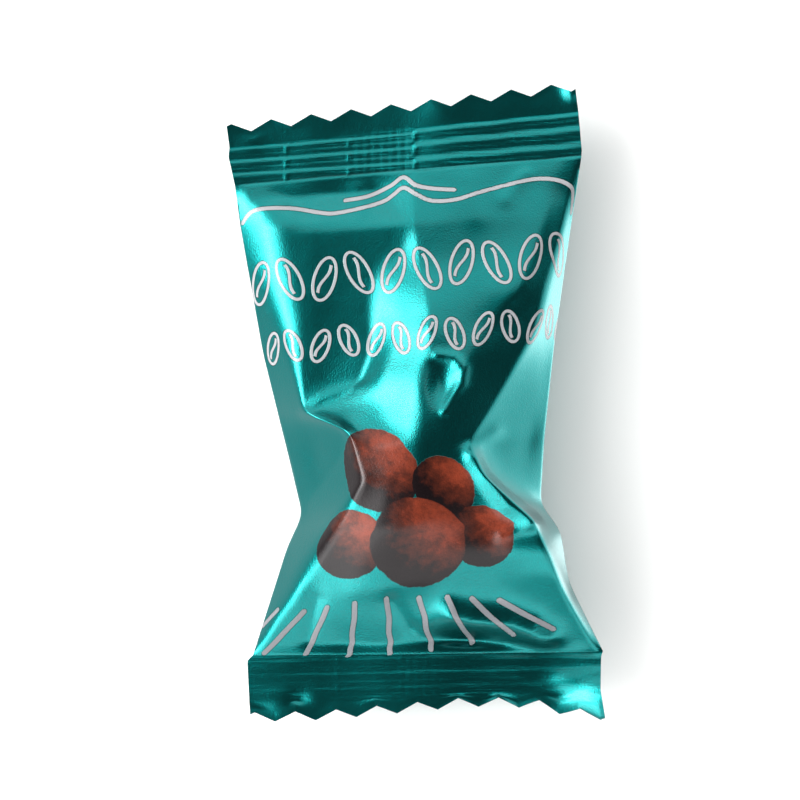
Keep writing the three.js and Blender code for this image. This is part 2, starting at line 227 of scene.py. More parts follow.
# Small forms on the face. A ridge runs from one point to another, and is a valley if its height is negative.
# A swell is an oval hump, or a dent if its height is negative, turned in degrees.
ridges = [
    {"path": [(-11.2, -0.7), (-9.8, 0.5), (-8.3, 1.1), (-6.0, 1.7)], "height": 0.12, "width": 0.7},
    {"path": [(-11.6, -1.1), (-9.7, -1.4), (-8.1, -2.0), (-7.0, -2.9)], "height": 0.25, "width": 0.9},
    {"path": [(6.3, -5.8), (7.6, -8.0), (9.6, -10.4), (12.1, -12.1)], "height": 0.9, "width": 1.9},
    {"path": [(12.3, -12.3), (10.6, -13.2), (8.9, -13.8)], "height": 0.3, "width": 1.0},
    {"path": [(5.6, -5.1), (8.4, -3.0)], "height": 0.3, "width": 1.2},
    {"path": [(3.8, -22.4), (5.8, -22.9), (7.8, -23.1), (9.8, -23.3), (12.0, -24.1), (13.6, -25.2)],
     "height": 1.6, "width": 2.6},
    {"path": [(2.3, 4.9), (3.9, 4.7), (5.0, 3.6), (4.8, 2.1), (3.6, 0.4), (2.9, -0.9)],
     "height": 0.4, "width": 0.95},
    {"path": [(-10.3, -20.5), (-11.5, -24.9)], "height": -0.25, "width": 1.3},
    {"path": [(-2.5, -20.7), (-0.6, -23.6)], "height": -0.35, "width": 1.3},
    {"path": [(-6.5, 23.6), (-5.5, 21.0)], "height": 0.2, "width": 1.8},
    {"path": [(11.5, 24.2), (9.5, 21.4)], "height": 0.2, "width": 1.6},
    {"path": [(-14.5, 22.5), (-11.5, 20.2)], "height": -0.15, "width": 1.8},
]
ridgeCrest, ridgeBody, ridgeFall = 0.3, 0.7, 2.0      # a crisp crest on a rounded body
swells = [
    {"at": (-7.6, -0.4), "size": (2.6, 1.2), "turn": 10, "height": -0.12},
    {"at": (2.6, 2.2), "size": (1.9, 3.2), "turn": 6, "height": -0.8},
    {"at": (1.2, 7.9), "size": (0.6, 0.6), "turn": 0, "height": 0.14},
    {"at": (5.2, -24.9), "size": (4.6, 1.2), "turn": -5, "height": -1.1},
    {"at": (-3.4, -19.2), "size": (5.0, 1.6), "turn": 6, "height": 0.25},
    {"at": (-12.6, -20.0), "size": (1.6, 3.4), "turn": -30, "height": 0.22},
    {"at": (6.0, 20.6), "size": (1.5, 3.4), "turn": 12, "height": 0.14},
    {"at": (12.0, -4.0), "size": (1.6, 3.6), "turn": -14, "height": -0.2},
    {"at": (-10.5, -5.5), "size": (1.4, 3.0), "turn": 12, "height": -0.15},
]
swellFall = 1.5
# The film is faintly crumpled all over: waves of these lengths, in all directions, with this much slope each.
crumple = [
    {"waves": 9, "length": (5.0, 9.0), "slope": 0.016},
    {"waves": 8, "length": (2.2, 4.0), "slope": 0.005},
]
crumpleWaves = []
for kind in crumple:
    for _ in range(kind["waves"]):
        heading = rng.uniform(0, math.tau)
        pace = math.tau / rng.uniform(*kind["length"])
        start = rng.uniform(0, math.tau)
        crumpleWaves.append((pace * math.cos(heading), pace * math.sin(heading), start, kind["slope"] / pace))


def crumpled(x, y):
    raised = np.zeros_like(x)
    for paceX, paceY, start, height in crumpleWaves:
        raised += height * np.sin(paceX * x + paceY * y + start)
    return raised


def awayFrom(start, end, x, y):
    # the distance from a straight stretch
    dx, dy = end[0] - start[0], end[1] - start[1]
    share = np.clip(((x - start[0]) * dx + (y - start[1]) * dy) / (dx * dx + dy * dy), 0, 1)
    return np.hypot(x - start[0] - share * dx, y - start[1] - share * dy)


def faceRelief(x, y):
    raised = np.zeros_like(x)
    for ridge in ridges:
        path = ridge["path"]
        away = np.min([awayFrom(a, b, x, y) for a, b in zip(path[:-1], path[1:])], axis=0) / ridge["width"]
        crest, body = np.maximum(0, 1 - away) ** 2, np.exp(-ridgeFall * away ** 2)
        raised += ridge["height"] * (ridgeCrest * crest + ridgeBody * body)
    for swell in swells:
        turn = math.radians(swell["turn"])
        dx, dy = x - swell["at"][0], y - swell["at"][1]
        alongX = (dx * math.cos(turn) + dy * math.sin(turn)) / swell["size"][0]
        alongY = (dy * math.cos(turn) - dx * math.sin(turn)) / swell["size"][1]
        raised += swell["height"] * np.exp(-swellFall * (alongX ** 2 + alongY ** 2))
    return raised + crumpled(x, y)


# The two seals. Their crimps are waves pressed in by the jaws, soft where the seal is two films thick and
# sharper over the folded seam behind it.
upper = {
    "lines": [                        # across the pack: out, left end (x, y), right end (x, y)
        (0, -19.0, 22.8, 17.4, 25.8), (0.15, -19.15, 23.5, 17.45, 26.5), (0.75, -19.7, 25.9, 17.2, 29.6),
        (1, -19.6, 26.9, 17.1, 30.7), (2, -19.9, 28.3, 16.8, 32.8),
    ],
    "down": 0,                        # where it joins the body
    "height": 7.5,                    # above the table
    "waves": [(0.35, 6.5, 0.6), (0.12, 2.4, 0)],      # height, length of a radian, start
    "lean": 0.6,                      # how much lower its outer part lies
    "crimpHeight": 0.115,
    "knurl": 0.012,                   # fine ribs between the seam's weld and its fold
    "seam": (-13.6, -7.0, -0.1),      # x of the back seam's free edge, weld and fold
    "seamMark": 0.05,
    "shift": 3.0,                     # keeps its crumple unlike the other seal's
    "dents": [                        # x, out, reach along and out, height
        (16.5, 1.9, 1.2, 0.5, 0.5), (2.5, 1.7, 2.0, 0.5, 0.12), (-17.5, 1.2, 1.5, 0.6, 0.12),
    ],
    "toothFrom": 0,                   # its teeth stand out beyond the last line
    "arch": [(0, 0), (1, 0)],
}
lower = {
    "lines": [
        (0, -17.1, -26.5, 19.7, -26.1), (0.15, -17.7, -27.1, 19.5, -26.7), (1, -17.5, -31.2, 19.4, -30.2),
        (2, -17.4, -32.55, 19.9, -32.3),
    ],
    "down": 1,
    "height": 7.0,
    "waves": [(0.5, 7.5, 2.2), (0.15, 2.9, 1)],
    "lean": -0.3,
    "crimpHeight": 0.04,
    "knurl": 0.008,
    "seam": (-8.2, -1.5, 5.3),
    "seamMark": 0.015,
    "shift": 11.0,
    "dents": [
        (-12.3, 1.1, 1.3, 0.3, -0.35), (15.5, 1.2, 2.2, 0.3, -0.45), (16.0, 0.7, 2.6, 0.2, 0.3),
        (20.8, 1.35, 5.0, 1.0, 2.0), (-5.0, 1.15, 4.0, 0.14, -0.12), (4.5, 1.1, 4.0, 0.14, -0.12),
        (-16.0, 1.5, 1.6, 0.4, -0.2), (9.5, 1.5, 3.0, 0.5, -0.3), (10.0, 0.5, 3.0, 0.25, 0.12),
        (-14.0, 0.25, 3.0, 0.12, 0.08), (0.0, 0.3, 5.0, 0.12, -0.08),
    ],
    "toothFrom": -1,                  # its notches stand back from the last line
    "arch": [(0, 0), (0.2, 0.15), (0.62, 1.5), (0.8, 1.25), (0.93, 0.1), (1, 0)],     # across, how far back
}
crimp = {
    "waves": 3,                       # from out 0 to out 1
    "start": 1 / 3,                   # the share of a wave that comes before out 0
    "begins": (0, 0.06), "ends": (1.04, 0.94),        # out
    "wander": 0.12,                   # how far a wave's line strays, in radians of the wave
    "seamSoft": 0.3,
    "seamShare": 0.75,                # how far the crimps change over the seam
    "sharpHeight": 0.7, "sharpWidth": 0.3, "sharpLag": 0.4,
    "doubleHeight": 0.4, "doubleDrift": 0.15,
    "knurlPitch": 0.9,
    "weldSoft": 0.4,
    "markWidth": 0.16,
    "crumple": 0.6,                   # of the face's crumple,
    "length": 7.0,                    # which goes on over the seal as if it were this long,
    "crumpleFrom": (0, 0.2),          # from here, out
}


def sealLine(end, out, across):
    leftX, leftY, rightX, rightY = along(end["lines"], out, reach=0.05)
    return mix(leftX, rightX, across), mix(leftY, rightY, across)


def sealWave(end, x):
    return sum(height * np.sin(x / length + start) for height, length, start in end["waves"])


def crimpRelief(end, x, out):
    turns = math.tau * (crimp["waves"] * out - crimp["start"])
    free, weld, fold = end["seam"]
    overSeam = smooth(fold + crimp["seamSoft"], fold - crimp["seamSoft"], x)
    crest = np.sin(turns / 2 - crimp["sharpLag"]) / crimp["sharpWidth"]
    double = np.sin(2 * turns + crimp["doubleDrift"] * x)
    sharp = crimp["sharpHeight"] * np.exp(-(crest ** 2)) + crimp["doubleHeight"] * double
    soft = np.sin(turns + crimp["wander"] * np.sin(x))
    pressed = mix(soft, sharp, crimp["seamShare"] * overSeam) * end["crimpHeight"]
    ribs = np.sin(math.tau * x / crimp["knurlPitch"]) * smooth(weld, weld + crimp["weldSoft"], x) * overSeam
    pressed = pressed + end["knurl"] * ribs
    for edge in (free, weld, fold):
        mark = np.exp(-(((x - edge) / crimp["markWidth"]) ** 2))
        pressed = pressed + end["seamMark"] * mark * (1 + np.cos(turns))
    return pressed * smooth(*crimp["begins"], out) * smooth(*crimp["ends"], out)


def sealRelief(end, x, out):
    raised = crumpled(x, crimp["length"] * out + end["shift"]) * crimp["crumple"]
    for atX, atOut, reachX, reachOut, height in end["dents"]:
        raised += height * np.exp(-swellFall * (((x - atX) / reachX) ** 2 + ((out - atOut) / reachOut) ** 2))
    return raised * smooth(*crimp["crumpleFrom"], out)


def flapDepth(x, down):
    # how far the folded-over seam stands out from the back
    seam = along(film["flapSeam"], down)[0]
    free, step = seam - film["flapWidth"], film["flapStep"]
    return film["flapThick"] * smooth(free - step, free, x) * smooth(seam + step, seam, x)


def sealSheet(end, back):
    # from the body out to the cut edge
    out = np.concatenate([np.linspace(0, 1, film["crimpRows"] + 1),
                          np.linspace(1, 2, film["fringeRows"] + 1)[1:]])[:, None]
    column = np.arange(film["columns"] + 1)[None, :]
    across = evenShare(column) + 0 * out
    x, y = sealLine(end, out + 0 * across, across)
    pitch = (film["columns"] - 2 * film["sideColumns"]) / film["teeth"]
    tooth = 1 - np.abs(((column - film["sideColumns"]) / (pitch / 2) + 1) % 2 - 1)
    cut = along(end["arch"], across, reach=0.06)[0] + film["toothDepth"] * (tooth + end["toothFrom"])
    y = y + cut * np.maximum(0, out - 1)
    z = end["height"] + sealWave(end, x) + crimpRelief(end, x, out) + sealRelief(end, x, out)
    z = z - end["lean"] * np.minimum(out, 1)
    if back:
        z = z - flapDepth(x, end["down"] + 0 * x)
    return np.stack([x, y, z], axis=-1)


def bodySheet(back):
    # from the upper seal to the lower one
    down = np.linspace(0, 1, film["bodyRows"] + 1)[:, None]
    column = np.arange(film["columns"] + 1)[None, :]
    lines = (backFolds if back else faceFolds)(down)
    left, right = lines[0], lines[-1]
    foldX = np.concatenate([line[0] for line in lines], axis=1)
    onFolds = np.array([np.interp(column[0], backColumns if back else faceColumns, row) for row in foldX])
    x = mix(mix(left[0], right[0], evenShare(column)), onFolds, clearOf(film["spread"], down))
    across = (x - left[0]) / (right[0] - left[0])
    y = mix(sealLine(upper, 0 * across, across)[1], sealLine(lower, 0 * across, across)[1], down)
    z = folded([line[0] for line in lines], [line[1] for line in lines], [line[2] for line in lines], x)
    edgeX, edgeY = film["backSmooth" if back else "faceSmooth"]
    inside = clearOf(edgeX, across) * clearOf(edgeY, down)
    if back:
        rough = film["backCrumple"] * crumpled(x, -y) * smooth(*film["flatBelow"], z)
        z = z - flapDepth(x, down) + rough * inside
    else:
        z = z - tucked(leftTuck, left, lines[1], x, down) - tucked(rightTuck, right, lines[-2], x, down)
        z = z + faceRelief(x, y) * inside
    reach = film["waveReach"]
    z = z + sealWave(upper, x) * smooth(reach, 0, down) + sealWave(lower, x) * smooth(1 - reach, 1, down)
    return np.stack([x, y, z], axis=-1)


def wholeSheet(back):
    # the rows of the upper seal, the body and the lower seal, from the top down
    points = np.concatenate([sealSheet(upper, back)[:0:-1], bodySheet(back), sealSheet(lower, back)[1:]])
    points[:, :, 2] += film["thick"] / 2 * (-1 if back else 1)
    return points


def filmCoordinates(points):
    # u across the flat film from its middle, v along it, both in millimetres
    steps = np.hypot(np.diff(points[:, :, 0], axis=1), np.diff(points[:, :, 2], axis=1))
    length = np.concatenate([np.zeros((len(points), 1)), np.cumsum(steps, axis=1)], axis=1)
    u = (length / length[:, -1:] - 0.5) * film["halfGirth"]
    down = (np.arange(len(points)) - film["crimpRows"] - film["fringeRows"]) / film["bodyRows"]
    v = (0.5 - down)[:, None] * film["printLength"] + 0 * u
    return u, v


facePoints = wholeSheet(False)
backPoints = wholeSheet(True)
u, v = filmCoordinates(facePoints)
print("film:", facePoints.shape[0], "rows of", facePoints.shape[1], "points on each sheet")


# The white print: two thin lines under the upper seal and a fan of short strokes above the lower one.
whiteInk = {
    "upperLine": [                    # seen from above: x, y
        (-18.2, 18.9), (-16.9, 20.25), (-13.3, 20.4), (-9.9, 19.9), (-8.3, 19.9), (-5.3, 20.5), (-3.3, 21.2),
        (-2.3, 21.9), (-1.3, 22.6), (0.0, 21.9), (1.7, 21.2), (4.2, 21.3), (6.7, 22.1), (10.1, 23.0),
        (12.6, 23.5), (14.7, 23.4), (16.1, 22.9), (16.5, 22.0), (16.3, 20.0),
    ],
    "shortLine": [
        (-7.4, 21.3), (-5.0, 21.7), (-2.6, 22.8), (-1.3, 23.7), (0.0, 22.9), (1.7, 22.5), (4.1, 22.3),
    ],
    "lineWidth": 0.42,
    "rays": [                         # seen from above: top (x, y), foot (x, y)
        (-14.5, -21.7, -16.1, -23.4), (-11.7, -21.8, -15.9, -26.3), (-9.3, -21.4, -11.6, -26.4),
        (-6.4, -20.9, -7.1, -26.6), (-3.1, -20.4, -2.7, -26.4), (0.3, -20.3, 1.6, -25.9),
        (3.3, -20.2, 6.0, -25.2), (5.8, -20.4, 10.3, -24.3), (8.7, -20.6, 14.5, -23.7),
    ],
    "rayWidth": 0.55,
}
noInk = 2.0                           # mm from white ink, where there is none near


def onFilm(x, y, count=6, least=0.001):
    # film coordinates of the place seen at (x, y) from above, from the points of the sheet nearest to it
    away = ((facePoints[:, :, 0] - x) ** 2 + (facePoints[:, :, 1] - y) ** 2).ravel() + least
    near = np.argpartition(away, count)[:count]
    weight = 1 / away[near]
    return np.sum(u.flat[near] * weight) / weight.sum(), np.sum(v.flat[near] * weight) / weight.sum()


def rounded(points, steps=5):
    # the same line through more points
    path = []
    padded = [points[0], *points, points[-1]]
    for a, b, c, d in zip(padded, padded[1:], padded[2:], padded[3:]):
        for step in range(steps):
            s = step / steps
            path.append(tuple(0.5 * (2 * q + (r - p) * s + (2 * p - 5 * q + 4 * r - w) * s * s
                                     + (3 * q - p - 3 * r + w) * s ** 3) for p, q, r, w in zip(a, b, c, d)))
    return [*path, points[-1]]


strokes = [(rounded([onFilm(*place) for place in whiteInk[name]]), whiteInk["lineWidth"])
           for name in ("upperLine", "shortLine")]
strokes += [([onFilm(*ray[:2]), onFilm(*ray[2:])], whiteInk["rayWidth"]) for ray in whiteInk["rays"]]
inkEdge = np.full(u.shape, noInk)     # mm from the nearest edge of white ink, negative inside it
for points, width in strokes:
    for start, end in zip(points[:-1], points[1:]):
        inkEdge = np.minimum(inkEdge, awayFrom(start, end, u, v) - width / 2)
print("print:", len(strokes), "white strokes")


def gridObject(name, points, attributes):
    # a flat grid with as many squares as the sheet, then each corner moved to its place on the film
    rows, columns = points.shape[:2]
    bpy.ops.mesh.primitive_grid_add(x_subdivisions=columns - 1, y_subdivisions=rows - 1, size=1)
    piece = bpy.context.active_object
    piece.name = name
    mesh = piece.data
    flat = np.empty(len(mesh.vertices) * 3)
    mesh.vertices.foreach_get("co", flat)
    flat = flat.reshape(-1, 3)
    column = np.rint((flat[:, 0] + 0.5) * (columns - 1)).astype(int)
    row = np.rint((0.5 - flat[:, 1]) * (rows - 1)).astype(int)
    mesh.vertices.foreach_set("co", (points[row, column] * mm).ravel())
    for key, values in attributes.items():
        attribute = mesh.attributes.new(key, "FLOAT", "POINT")
        attribute.data.foreach_set("value", values[row, column].astype(np.float32))
    mesh.update()
    return piece


# Both sheets as one closed skin. The back has no print: its film coordinates lie beyond the print's.
beyondPrint = 100.0
face = gridObject("pillow_film", facePoints, {"filmU": u, "filmV": v, "inkEdge": inkEdge})
backSheet = gridObject("back_film", backPoints, {
    "filmU": np.full(u.shape, beyondPrint), "filmV": np.zeros(u.shape), "inkEdge": np.full(u.shape, noInk)})
bpy.ops.object.select_all(action="DESELECT")
backSheet.select_set(True)
bpy.context.view_layer.objects.active = backSheet
bpy.ops.object.mode_set(mode="EDIT")
bpy.ops.mesh.select_all(action="SELECT")
bpy.ops.mesh.flip_normals()
bpy.ops.object.mode_set(mode="OBJECT")
face.select_set(True)
bpy.context.view_layer.objects.active = face
bpy.ops.object.join()
bpy.ops.object.mode_set(mode="EDIT")
bpy.ops.mesh.select_mode(type="EDGE")
bpy.ops.mesh.select_all(action="DESELECT")
bpy.ops.mesh.select_non_manifold()
bpy.ops.mesh.bridge_edge_loops()      # the cut edge, from one film to the other
bpy.ops.object.mode_set(mode="OBJECT")
bpy.ops.object.shade_smooth_by_angle(angle=math.radians(film["sharpAngle"]))
print("film: joined,", len(face.data.polygons), "faces")


def linear(code):
    # an sRGB hex colour as linear numbers
    values = [int(code[k:k + 2], 16) / 255 for k in (1, 3, 5)]
    return (*[c / 12.92 if c <= 0.04045 else ((c + 0.055) / 1.055) ** 2.4 for c in values], 1)


def addNode(tree, kind, *values, sockets=None, output=0, **settings):
    # values go to the node's first sockets in turn. Each is a number, a hex colour or another node's output.
    node = tree.nodes.new(kind)
    for name, value in settings.items():
        setattr(node, name, value)
    for socket, value in [*enumerate(values), *(sockets or {}).items()]:
        if isinstance(value, bpy.types.NodeSocket):
            tree.links.new(value, node.inputs[socket])
        else:
            node.inputs[socket].default_value = linear(value) if isinstance(value, str) else value
    return node.outputs[output]


maths, vectorMaths = "ShaderNodeMath", "ShaderNodeVectorMath"
mixer, mapper = "ShaderNodeMix", "ShaderNodeMapRange"
softly = {"interpolation_type": "SMOOTHSTEP"}         # 0 to 1 with soft ends, between two values
inColour = {"data_type": "RGBA", "output": 2}         # its two colours go to sockets 6 and 7

# Oriented polypropylene film, metallised and printed in see-through teal: it mirrors what is round it, in
# teal. White and brown are solid inks on it, which mirror little.
tealFilm = bpy.data.materials.new("metallised_teal_film")
tealFilm.use_nodes = True
tree = tealFilm.node_tree
shader = tree.nodes["Principled BSDF"]
gloss = {"Roughness": 0.28, "Coat Weight": 0.4, "Coat Roughness": 0.16, "Specular IOR Level": 0.2}
for socket, value in gloss.items():
    shader.inputs[socket].default_value = value
inks = {
    "teal": "#0C8685",
    "line": "#0F5C5A",                # a thin dark teal ring round the white ink
    "white": "#97989B",
    "grey": "#787A7E",                # the white ink made greyer towards the lower seal, where the rays are
    "greyBelow": (-18, -21),          # v
    "cocoaLit": "#7A311E",
    "cocoaMid": "#411B12",
    "cocoaDark": "#120B0D",
    "litFrom": (0.55, 1.15),          # light
    "midFrom": (0.15, 0.65),
    "whiteEdge": (0.03, -0.03),       # mm from the ink's edge
    "lineEdge": (0.14, 0.02),
    "ballEdge": (1.015, 0.985),       # of a truffle's radius
    "lightFrom": (0.55, 0.55, 0.63),
    "dustScale": 0.9,                 # patches of cocoa about 1 mm across
    "dustLight": 1.2,                 # how far it lightens and darkens a truffle
    "wander": 0.6,                    # mm, how far the dust roughens a truffle's outline
    "truffles": [                     # u, v, radius, the ones behind first
        (-4.9, -5.9, 4.5), (1.9, -8.0, 3.3), (-8.9, -13.8, 3.8), (4.8, -13.4, 3.3), (-1.8, -13.8, 4.9),
    ],
    "cocoaHides": 0.9,                # of the metal under it
}
coordinates = addNode(tree, "ShaderNodeTexCoord", output="Object")
filmU = addNode(tree, "ShaderNodeAttribute", attribute_name="filmU", output="Fac")
filmV = addNode(tree, "ShaderNodeAttribute", attribute_name="filmV", output="Fac")
edge = addNode(tree, "ShaderNodeAttribute", attribute_name="inkEdge", output="Fac")
flat = addNode(tree, "ShaderNodeCombineXYZ", filmU, filmV)

# Rows of cocoa beans in outline, each leaning the other way from the one before it.
beans = {
    "rows": [                         # v, first u, step, half length, half width
        (15.4, -17.0, 3.7, 2.4, 1.1), (8.2, -16.7, 3.0, 1.75, 0.85),
    ],
    "tilt": 22,                       # degrees
    "stroke": 0.32,
    "lift": 0.2, "liftPace": 2.4,     # the beans stand a little up and down
    "rowSlope": -0.02,
    "curl": 0.3, "curlPace": 3.2,     # the bean's furrow is a slight S,
    "furrow": 0.62,                   # over this share of its length
    "rowEnd": 18.7,                   # u
    "leastSteep": 0.0001,             # keeps the division sound in the middle of a bean
}
leanCos, leanSin = math.cos(math.radians(beans["tilt"])), math.sin(math.radians(beans["tilt"]))
for rowV, firstU, pitch, length, width in beans["rows"]:
    # the nearest bean's number, the side it leans to, and the distance from its middle
    place = addNode(tree, maths, filmU, 1 / pitch, -firstU / pitch, operation="MULTIPLY_ADD")
    number = addNode(tree, maths, place, operation="ROUND")
    side = addNode(tree, maths, number, 1, operation="PINGPONG")
    side = addNode(tree, maths, side, 2, -1, operation="MULTIPLY_ADD")
    offU = addNode(tree, maths, place, number, operation="SUBTRACT")
    offU = addNode(tree, maths, offU, pitch, operation="MULTIPLY")
    lift = addNode(tree, maths, number, beans["liftPace"], operation="MULTIPLY")
    lift = addNode(tree, maths, lift, operation="SINE")
    lift = addNode(tree, maths, lift, beans["lift"], rowV, operation="MULTIPLY_ADD")
    offV = addNode(tree, maths, filmU, beans["rowSlope"], filmV, operation="MULTIPLY_ADD")
    offV = addNode(tree, maths, offV, lift, operation="SUBTRACT")

    # the same place along the bean's own axes, in shares of its half width and half length
    leanU = addNode(tree, maths, offU, side, operation="MULTIPLY")
    leanU = addNode(tree, maths, leanU, leanSin, operation="MULTIPLY")
    leanV = addNode(tree, maths, offV, side, operation="MULTIPLY")
    leanV = addNode(tree, maths, leanV, leanSin, operation="MULTIPLY")
    crosswise = addNode(tree, maths, offU, leanCos, leanV, operation="MULTIPLY_ADD")
    crosswise = addNode(tree, maths, crosswise, width, operation="DIVIDE")
    lengthwise = addNode(tree, maths, offV, leanCos, operation="MULTIPLY")
    lengthwise = addNode(tree, maths, lengthwise, leanU, operation="SUBTRACT")
    lengthwise = addNode(tree, maths, lengthwise, length, operation="DIVIDE")

    # the distance from its oval outline, worked out from how steeply the oval's own value grows there
    reach = addNode(tree, maths, lengthwise, lengthwise, operation="MULTIPLY")
    reach = addNode(tree, maths, crosswise, crosswise, reach, operation="MULTIPLY_ADD")
    reach = addNode(tree, maths, reach, operation="SQRT")
    steepU = addNode(tree, maths, crosswise, width, operation="DIVIDE")
    steepV = addNode(tree, maths, lengthwise, length, operation="DIVIDE")
    steep = addNode(tree, maths, steepV, steepV, beans["leastSteep"], operation="MULTIPLY_ADD")
    steep = addNode(tree, maths, steepU, steepU, steep, operation="MULTIPLY_ADD")
    steep = addNode(tree, maths, steep, operation="SQRT")
    outline = addNode(tree, maths, reach, 1, operation="SUBTRACT")
    outline = addNode(tree, maths, outline, reach, operation="MULTIPLY")
    outline = addNode(tree, maths, outline, steep, operation="DIVIDE")
    outline = addNode(tree, maths, outline, operation="ABSOLUTE")

    # the distance from its furrow
    curl = addNode(tree, maths, lengthwise, beans["curlPace"], operation="MULTIPLY")
    curl = addNode(tree, maths, curl, operation="SINE")
    curl = addNode(tree, maths, curl, beans["curl"], operation="MULTIPLY")
    furrow = addNode(tree, maths, crosswise, curl, operation="SUBTRACT")
    furrow = addNode(tree, maths, furrow, operation="ABSOLUTE")
    furrow = addNode(tree, maths, furrow, width, operation="MULTIPLY")
    pastEnd = addNode(tree, maths, lengthwise, operation="ABSOLUTE")
    pastEnd = addNode(tree, maths, pastEnd, length, -beans["furrow"] * length, operation="MULTIPLY_ADD")
    furrow = addNode(tree, maths, furrow, pastEnd, operation="MAXIMUM")

    # the nearer of the two, as far as the row goes
    drawn = addNode(tree, maths, outline, furrow, operation="MINIMUM")
    drawn = addNode(tree, maths, drawn, beans["stroke"] / 2, operation="SUBTRACT")
    pastRow = addNode(tree, maths, filmU, operation="ABSOLUTE")
    pastRow = addNode(tree, maths, pastRow, beans["rowEnd"], operation="SUBTRACT")
    drawn = addNode(tree, maths, drawn, pastRow, operation="MAXIMUM")
    edge = addNode(tree, maths, edge, drawn, operation="MINIMUM")
print("print: beans in", len(beans["rows"]), "rows")

# The white ink, and a thin dark teal ring round its edge.
white = addNode(tree, mapper, edge, *inks["whiteEdge"], **softly)
rim = addNode(tree, mapper, edge, *inks["lineEdge"], **softly)

# A heap of cocoa-dusted truffles: each is a ball lit from the upper right, with patches of powder that also
# roughen its outline.
dust = addNode(tree, "ShaderNodeTexNoise", output="Fac",
               sockets={"Vector": flat, "Scale": inks["dustScale"], "Detail": 6.0, "Roughness": 0.7})
wander = inks["wander"]
onDust = addNode(tree, vectorMaths, dust.node.outputs["Color"], (wander, wander, 0), flat,
                 operation="MULTIPLY_ADD")
dustLight = addNode(tree, maths, dust, inks["dustLight"], -inks["dustLight"] / 2, operation="MULTIPLY_ADD")
lightU, lightV, lightUp = inks["lightFrom"]
cocoa, covered = None, None
for atU, atV, radius in inks["truffles"]:
    middle = (atU + wander / 2, atV + wander / 2, 0)
    place = addNode(tree, vectorMaths, onDust, middle, operation="SUBTRACT")
    place = addNode(tree, vectorMaths, place, sockets={"Scale": 1 / radius}, operation="SCALE")
    reach = addNode(tree, vectorMaths, place, operation="LENGTH", output="Value")
    light = addNode(tree, vectorMaths, place, (lightU, lightV, 0), operation="DOT_PRODUCT", output="Value")
    height = addNode(tree, maths, reach, reach, operation="MULTIPLY")
    height = addNode(tree, maths, 1, height, operation="SUBTRACT")
    height = addNode(tree, maths, height, 0, operation="MAXIMUM")
    height = addNode(tree, maths, height, operation="SQRT")
    light = addNode(tree, maths, height, lightUp, light, operation="MULTIPLY_ADD")
    light = addNode(tree, maths, light, dustLight, operation="ADD")
    mid = addNode(tree, mapper, light, *inks["midFrom"], **softly)
    lit = addNode(tree, mapper, light, *inks["litFrom"], **softly)
    colour = addNode(tree, mixer, mid, sockets={6: inks["cocoaDark"], 7: inks["cocoaMid"]}, **inColour)
    colour = addNode(tree, mixer, lit, sockets={6: colour, 7: inks["cocoaLit"]}, **inColour)
    inside = addNode(tree, mapper, reach, *inks["ballEdge"], **softly)
    if cocoa is None:
        cocoa, covered = colour, inside
    else:
        cocoa = addNode(tree, mixer, inside, sockets={6: cocoa, 7: colour}, **inColour)
        covered = addNode(tree, maths, covered, inside, operation="MAXIMUM")
print("print:", len(inks["truffles"]), "truffles")

# The inks over each other, and how much of the metal they leave.
picture = addNode(tree, mixer, rim, sockets={6: inks["teal"], 7: inks["line"]}, **inColour)
picture = addNode(tree, mixer, covered, sockets={6: picture, 7: cocoa}, **inColour)
below = addNode(tree, mapper, filmV, *inks["greyBelow"], **softly)
whiteTone = addNode(tree, mixer, below, sockets={6: inks["white"], 7: inks["grey"]}, **inColour)
picture = addNode(tree, mixer, white, sockets={6: picture, 7: whiteTone}, **inColour)
tree.links.new(picture, shader.inputs["Base Color"])
bare = addNode(tree, maths, covered, inks["cocoaHides"], operation="MULTIPLY")
bare = addNode(tree, maths, white, bare, operation="MAXIMUM")
bare = addNode(tree, maths, 1, bare, operation="SUBTRACT")
tree.links.new(bare, shader.inputs["Metallic"])

# The film's fine grain, drawn at 0.15 mm where the real one is finer, the edge of the white ink, and the fine
# lines that the crimping jaws leave along both seals, about 0.6 mm apart and 11 mm long.
relief = {
    "grain": 0.15,
    "linesPerMetre": (90, 1700, 90),
    "lineTurn": -4,                   # degrees
    "lineHeight": 3.4, "inkHeight": 0.6,              # against the grain's
    "height": 0.03,                   # mm, the grain's
    "sealFrom": (26.1, 26.8), "sealTo": (35.6, 34.4),     # v
}
grain = addNode(tree, "ShaderNodeTexNoise", output="Fac",
                sockets={"Vector": coordinates, "Scale": 1 / (relief["grain"] * mm), "Detail": 1.0})
turned = {"Rotation": (0, 0, math.radians(relief["lineTurn"])), "Scale": relief["linesPerMetre"]}
stretched = addNode(tree, "ShaderNodeMapping", coordinates, sockets=turned)
lines = addNode(tree, "ShaderNodeTexNoise", output="Fac", sockets={
    "Vector": stretched, "Scale": 1.0, "Detail": 3.0, "Roughness": 0.6, "Distortion": 0.3})
farV = addNode(tree, maths, filmV, operation="ABSOLUTE")
begun = addNode(tree, mapper, farV, *relief["sealFrom"], **softly)
notDone = addNode(tree, mapper, farV, *relief["sealTo"], **softly)
lines = addNode(tree, maths, lines, begun, operation="MULTIPLY")
lines = addNode(tree, maths, lines, notDone, operation="MULTIPLY")
raised = addNode(tree, maths, white, relief["inkHeight"], grain, operation="MULTIPLY_ADD")
raised = addNode(tree, maths, lines, relief["lineHeight"], raised, operation="MULTIPLY_ADD")
bump = addNode(tree, "ShaderNodeBump",
               sockets={"Strength": 1.0, "Distance": relief["height"] * mm, "Height": raised})
tree.links.new(bump, shader.inputs["Normal"])
face.data.materials.append(tealFilm)
print("film: material with", len(tree.nodes), "nodes")

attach(face, "root")
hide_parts("pillow_pack")

